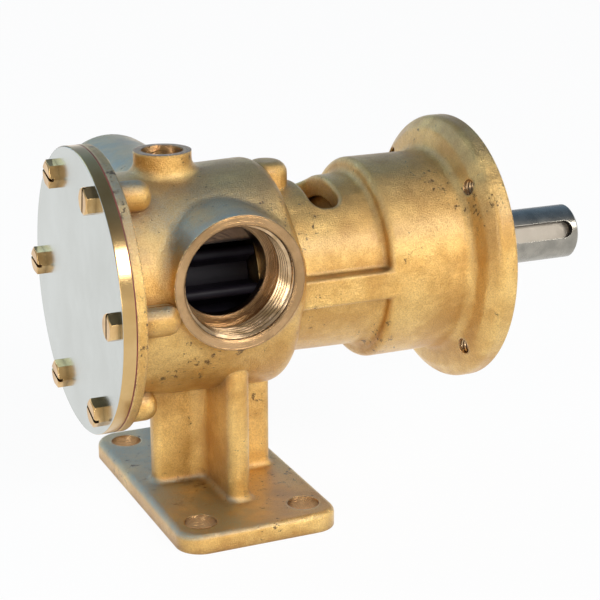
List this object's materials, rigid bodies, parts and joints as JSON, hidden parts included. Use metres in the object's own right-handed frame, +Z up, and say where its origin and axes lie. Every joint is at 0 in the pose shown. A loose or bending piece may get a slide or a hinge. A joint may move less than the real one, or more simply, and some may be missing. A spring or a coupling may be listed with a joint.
{
  "type": "impeller pump",
  "caption": "Foot-mounted bronze pump with a flexible rubber impeller, side ports, bearing pedestal and a bare keyed drive shaft.",
  "frame": {"origin": "underside of the foot plate, at the centre of its four bolt holes", "axes": "+X along the shaft from the end cover to the drive end, near port looks along -Y, +Z up, shaft line at z = 0.100"},
  "size_m": [0.2441, 0.18, 0.161],
  "materials": {
    "cast_bronze": "cast, tumbled",
    "cover_face": "fine satin",
    "gasket_sheet": "matte",
    "screw_brass": "machined",
    "cam_bronze": "machined",
    "cam_screw_brass": "machined",
    "copper_washer": "annealed",
    "wear_plate_bronze": "machined",
    "pin_brass": "machined",
    "impeller_rubber": "moulded",
    "insert_bronze": "machined",
    "key_steel": "ground",
    "shaft_steel": "ground",
    "seal_ceramic": "lapped",
    "seal_cup_rubber": "moulded",
    "seal_carbon": "lapped",
    "bellows_rubber": "moulded",
    "spring_steel": "drawn",
    "slinger_rubber": "moulded",
    "inner_oil_seal_rubber": "moulded",
    "outer_oil_seal_rubber": "moulded",
    "bearing_steel": "ground",
    "ball_steel": "polished",
    "cage_brass": "pressed",
    "spacer_steel": "turned",
    "circlip_steel": "blackened"
  },
  "bodies": {
    "casing": {"pump_casting": "cast_bronze", "cover_plate": "cover_face", "cover_gasket": "gasket_sheet", "cover_screws": "screw_brass", "cam": "cam_bronze", "cam_screw": "cam_screw_brass", "cam_screw_washer": "copper_washer", "wear_plate": "wear_plate_bronze", "wear_plate_pin": "pin_brass", "seal_seat": "seal_ceramic", "seal_cup": "seal_cup_rubber", "inner_oil_seal": "inner_oil_seal_rubber", "outer_oil_seal": "outer_oil_seal_rubber", "front_bearing_outer_ring": "bearing_steel", "rear_bearing_outer_ring": "bearing_steel", "bearing_spacer": "spacer_steel", "housing_circlip": "circlip_steel"},
    "rotor": {"impeller_rubber": "impeller_rubber", "impeller_insert": "insert_bronze", "impeller_key": "key_steel", "shaft": "shaft_steel", "seal_face_ring": "seal_carbon", "seal_bellows": "bellows_rubber", "seal_spring": "spring_steel", "slinger": "slinger_rubber", "front_bearing_inner_ring": "bearing_steel", "rear_bearing_inner_ring": "bearing_steel", "shaft_circlips": "circlip_steel"},
    "front_ball_set": {"front_bearing_balls": "ball_steel", "front_bearing_cage": "cage_brass"},
    "rear_ball_set": {"rear_bearing_balls": "ball_steel", "rear_bearing_cage": "cage_brass"}
  },
  "joints": [
    {"name": "shaft_spin", "type": "hinge", "parent": "casing", "child": "rotor", "pos_m": [0, 0, 0.1], "axis": [1, 0, 0], "continuous": true, "deforming": ["impeller_rubber"]},
    {"name": "front_ball_set_spin", "type": "hinge", "parent": "casing", "child": "front_ball_set", "pos_m": [0.0795, 0, 0.1], "axis": [1, 0, 0], "continuous": true},
    {"name": "rear_ball_set_spin", "type": "hinge", "parent": "casing", "child": "rear_ball_set", "pos_m": [0.1005, 0, 0.1], "axis": [1, 0, 0], "continuous": true}
  ],
  "couplings": [
    {"joint": "front_ball_set_spin", "follows": "shaft_spin", "ratio": 0.3804},
    {"joint": "rear_ball_set_spin", "follows": "shaft_spin", "ratio": 0.3804}
  ]
}
